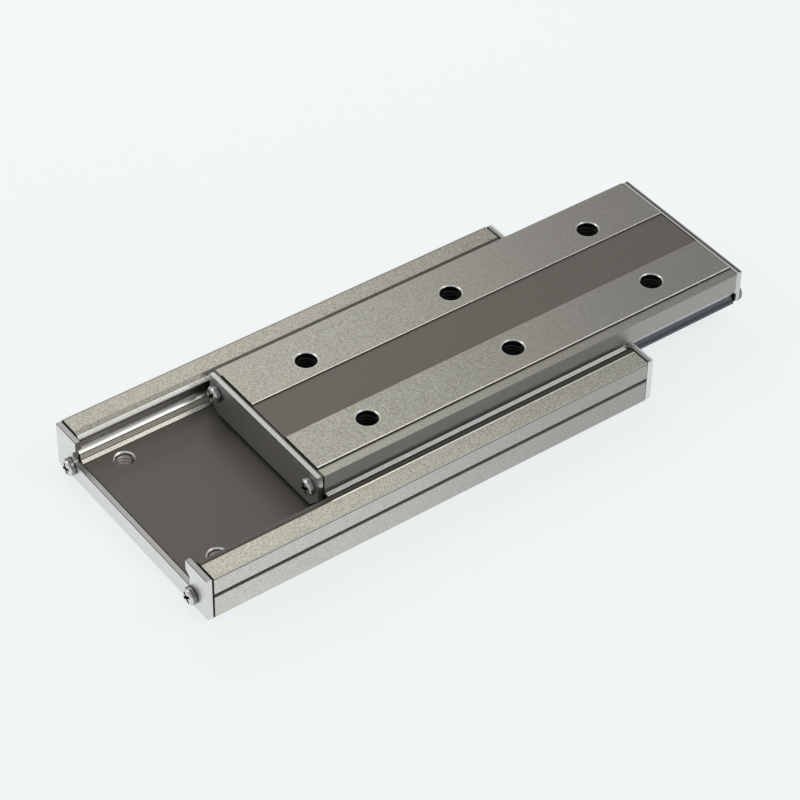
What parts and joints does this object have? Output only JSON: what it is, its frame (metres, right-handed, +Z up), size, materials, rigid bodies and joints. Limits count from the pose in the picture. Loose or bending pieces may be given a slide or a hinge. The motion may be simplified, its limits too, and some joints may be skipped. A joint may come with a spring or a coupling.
{
  "type": "ball bearing linear slide",
  "caption": "Low steel linear slide: a flat table with tapped holes runs on caged balls inside a U-shaped bed with screwed end plates.",
  "frame": {"origin": "centre of the bed's underside", "axes": "+X along the slide towards the far end, where the table stands out at rest; +Y across it to the left; +Z up from the bed to the table's top"},
  "size_m": [0.1308, 0.05, 0.0131],
  "materials": {
    "bed_steel": "ground satin",
    "table_steel": "ground satin",
    "plate_steel": "rolled satin",
    "screw_steel": "bright plated",
    "cage_steel": "rolled satin",
    "ball_steel": "polished"
  },
  "bodies": {
    "bed_unit": {"bed": "bed_steel", "bed_end_plate_near": "plate_steel", "bed_end_plate_far": "plate_steel", "bed_screw_near_left": "screw_steel", "bed_screw_near_right": "screw_steel", "bed_screw_far_left": "screw_steel", "bed_screw_far_right": "screw_steel"},
    "table_unit": {"table": "table_steel", "table_end_plate_near": "plate_steel", "table_end_plate_far": "plate_steel", "table_screw_near_left": "screw_steel", "table_screw_near_right": "screw_steel", "table_screw_far_left": "screw_steel", "table_screw_far_right": "screw_steel"},
    "cage_left_unit": {"ball_cage_left": "cage_steel", "ball_left_01": "ball_steel", "ball_left_02": "ball_steel", "ball_left_03": "ball_steel", "ball_left_04": "ball_steel", "ball_left_05": "ball_steel", "ball_left_06": "ball_steel", "ball_left_07": "ball_steel", "ball_left_08": "ball_steel", "ball_left_09": "ball_steel", "ball_left_10": "ball_steel", "ball_left_11": "ball_steel", "ball_left_12": "ball_steel", "ball_left_13": "ball_steel", "ball_left_14": "ball_steel"},
    "cage_right_unit": {"ball_cage_right": "cage_steel", "ball_right_01": "ball_steel", "ball_right_02": "ball_steel", "ball_right_03": "ball_steel", "ball_right_04": "ball_steel", "ball_right_05": "ball_steel", "ball_right_06": "ball_steel", "ball_right_07": "ball_steel", "ball_right_08": "ball_steel", "ball_right_09": "ball_steel", "ball_right_10": "ball_steel", "ball_right_11": "ball_steel", "ball_right_12": "ball_steel", "ball_right_13": "ball_steel", "ball_right_14": "ball_steel"}
  },
  "joints": [
    {"name": "table_slide", "type": "slide", "parent": "bed_unit", "child": "table_unit", "axis": [1, 0, 0], "range_m": [-0.0568, 0]},
    {"name": "cage_left_slide", "type": "slide", "parent": "bed_unit", "child": "cage_left_unit", "axis": [1, 0, 0], "range_m": [-0.0284, 0]},
    {"name": "cage_right_slide", "type": "slide", "parent": "bed_unit", "child": "cage_right_unit", "axis": [1, 0, 0], "range_m": [-0.0284, 0]}
  ],
  "couplings": [
    {"joint": "cage_left_slide", "follows": "table_slide", "ratio": 0.5},
    {"joint": "cage_right_slide", "follows": "table_slide", "ratio": 0.5}
  ]
}
